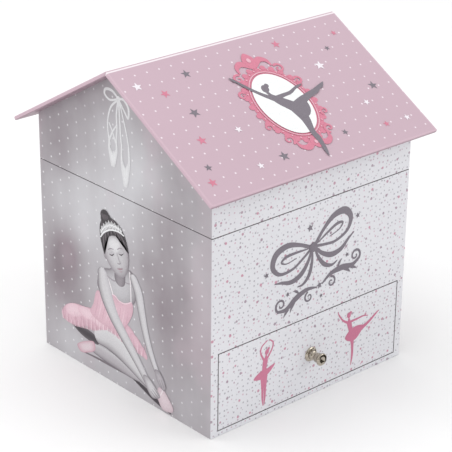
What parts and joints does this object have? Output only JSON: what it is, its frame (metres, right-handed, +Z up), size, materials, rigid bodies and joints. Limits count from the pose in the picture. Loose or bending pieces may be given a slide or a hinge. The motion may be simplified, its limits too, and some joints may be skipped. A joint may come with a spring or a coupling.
{
  "type": "musical jewellery box",
  "caption": "House-shaped jewellery box with a hinged roof lid, a front drawer with a round knob, lined compartments, and a clockwork movement that turns a small dancer.",
  "frame": {"origin": "centre of the footprint, on the surface that the box stands on", "axes": "+X to the right along the drawer front and the ridge, +Y from the drawer front to the back, +Z up"},
  "size_m": [0.181, 0.183, 0.207],
  "materials": {
    "front_paper": "satin printed paper over board, off-white with fine grey, mauve and pink speckles",
    "side_paper": "satin printed paper over board, grey-mauve with small white dots",
    "roof_paper": "satin printed paper over board, pale pink with fine white dots and small stars",
    "lining_paper": "matt lining paper over board, pale pink",
    "frame_paper": "matt paper over card, deep pink",
    "mirror": "silvered glass",
    "felt": "thin felt, pink",
    "velvet": "velour over foam, pink",
    "ribbon": "satin ribbon, pink",
    "hinge_cloth": "book cloth, grey-mauve",
    "zinc": "cast zinc alloy, as cast",
    "steel": "ground and polished",
    "nickel": "nickel plated, polished",
    "brass": "turned and stamped brass",
    "turntable_plastic": "moulded, pale pink",
    "figure_plastic": "moulded and painted, skin tone, pink bodice and shoes, brown hair",
    "tulle": "stiff gathered tulle, pale pink"
  },
  "bodies": {
    "box": {"base_board": "side_paper", "left_wall": "side_paper", "right_wall": "side_paper", "front_wall": "front_paper", "back_wall": "side_paper", "drawer_deck": "lining_paper", "drawer_guides": "lining_paper", "platform_front": "lining_paper", "platform_top": "lining_paper", "tray_divider_long": "lining_paper", "tray_divider_cross": "lining_paper", "tray_lining": "felt", "ring_rolls": "velvet", "hinge_cloth_lower": "hinge_cloth", "stay_ribbons": "ribbon", "movement_bedplate": "zinc", "movement_long_screws": "steel", "comb": "steel", "movement_short_screws": "steel", "governor_housing": "zinc", "lower_bearing": "brass", "spindle_bushing": "brass", "key_grommet": "brass", "stop_bracket": "steel"},
    "lid": {"lid_front_wall": "front_paper", "lid_back_wall": "side_paper", "lid_left_gable": "side_paper", "lid_right_gable": "side_paper", "roof_front_panel": "roof_paper", "roof_back_panel": "roof_paper", "lid_ceiling": "lining_paper", "lid_mirror": "mirror", "mirror_frame": "frame_paper", "hinge_cloth_upper": "hinge_cloth"},
    "drawer": {"drawer_front": "front_paper", "drawer_left_side": "lining_paper", "drawer_right_side": "lining_paper", "drawer_back": "lining_paper", "drawer_bottom": "lining_paper", "drawer_lining": "felt", "knob_rosette": "nickel", "knob": "nickel", "knob_washer": "nickel", "knob_screw": "nickel"},
    "barrel": {"spring_barrel": "brass", "barrel_cover": "brass", "mainspring": "steel"},
    "key": {"winding_arbor": "steel", "winding_key": "brass"},
    "dancer": {"cylinder_shaft": "steel", "cylinder_pinion": "brass", "pinned_cylinder": "brass", "drive_wheel": "brass", "turntable": "turntable_plastic", "ballerina_figure": "figure_plastic", "tutu": "tulle"},
    "governor_arbor": {"governor_pinion": "brass"},
    "fan": {"governor_fan": "steel"},
    "stopper": {"stop_lever": "steel"}
  },
  "joints": [
    {"name": "lid_hinge", "type": "hinge", "parent": "box", "child": "lid", "pos_m": [0, 0.08, 0.128], "axis": [-1, 0, 0], "range_deg": [0, 100]},
    {"name": "drawer_slide", "type": "slide", "parent": "box", "child": "drawer", "axis": [0, -1, 0], "range_m": [0, 0.13]},
    {"name": "barrel_spin", "type": "hinge", "parent": "box", "child": "barrel", "pos_m": [0, 0.066, 0.073], "axis": [0, 1, 0], "continuous": true},
    {"name": "dancer_spin", "type": "hinge", "parent": "box", "child": "dancer", "pos_m": [0, 0.054, 0.092], "axis": [0, 0, 1], "continuous": true},
    {"name": "governor_arbor_spin", "type": "hinge", "parent": "box", "child": "governor_arbor", "pos_m": [0.0144, 0.054, 0.087], "axis": [0, 0, 1], "continuous": true},
    {"name": "fan_spin", "type": "hinge", "parent": "box", "child": "fan", "pos_m": [0.022, 0.051, 0.072], "axis": [1, 0, 0], "continuous": true},
    {"name": "key_wind", "type": "hinge", "parent": "box", "child": "key", "pos_m": [0, 0.08, 0.073], "axis": [0, 1, 0], "continuous": true},
    {"name": "stop_lever_swing", "type": "hinge", "parent": "box", "child": "stopper", "pos_m": [0.0252, 0.066, 0.086], "axis": [-1, 0, 0], "range_deg": [0, 8]}
  ],
  "couplings": [
    {"joint": "dancer_spin", "follows": "barrel_spin", "ratio": 2},
    {"joint": "governor_arbor_spin", "follows": "barrel_spin", "ratio": -6},
    {"joint": "fan_spin", "follows": "barrel_spin", "ratio": 30},
    {"joint": "stop_lever_swing", "follows": "lid_hinge", "ratio": 0.08}
  ]
}
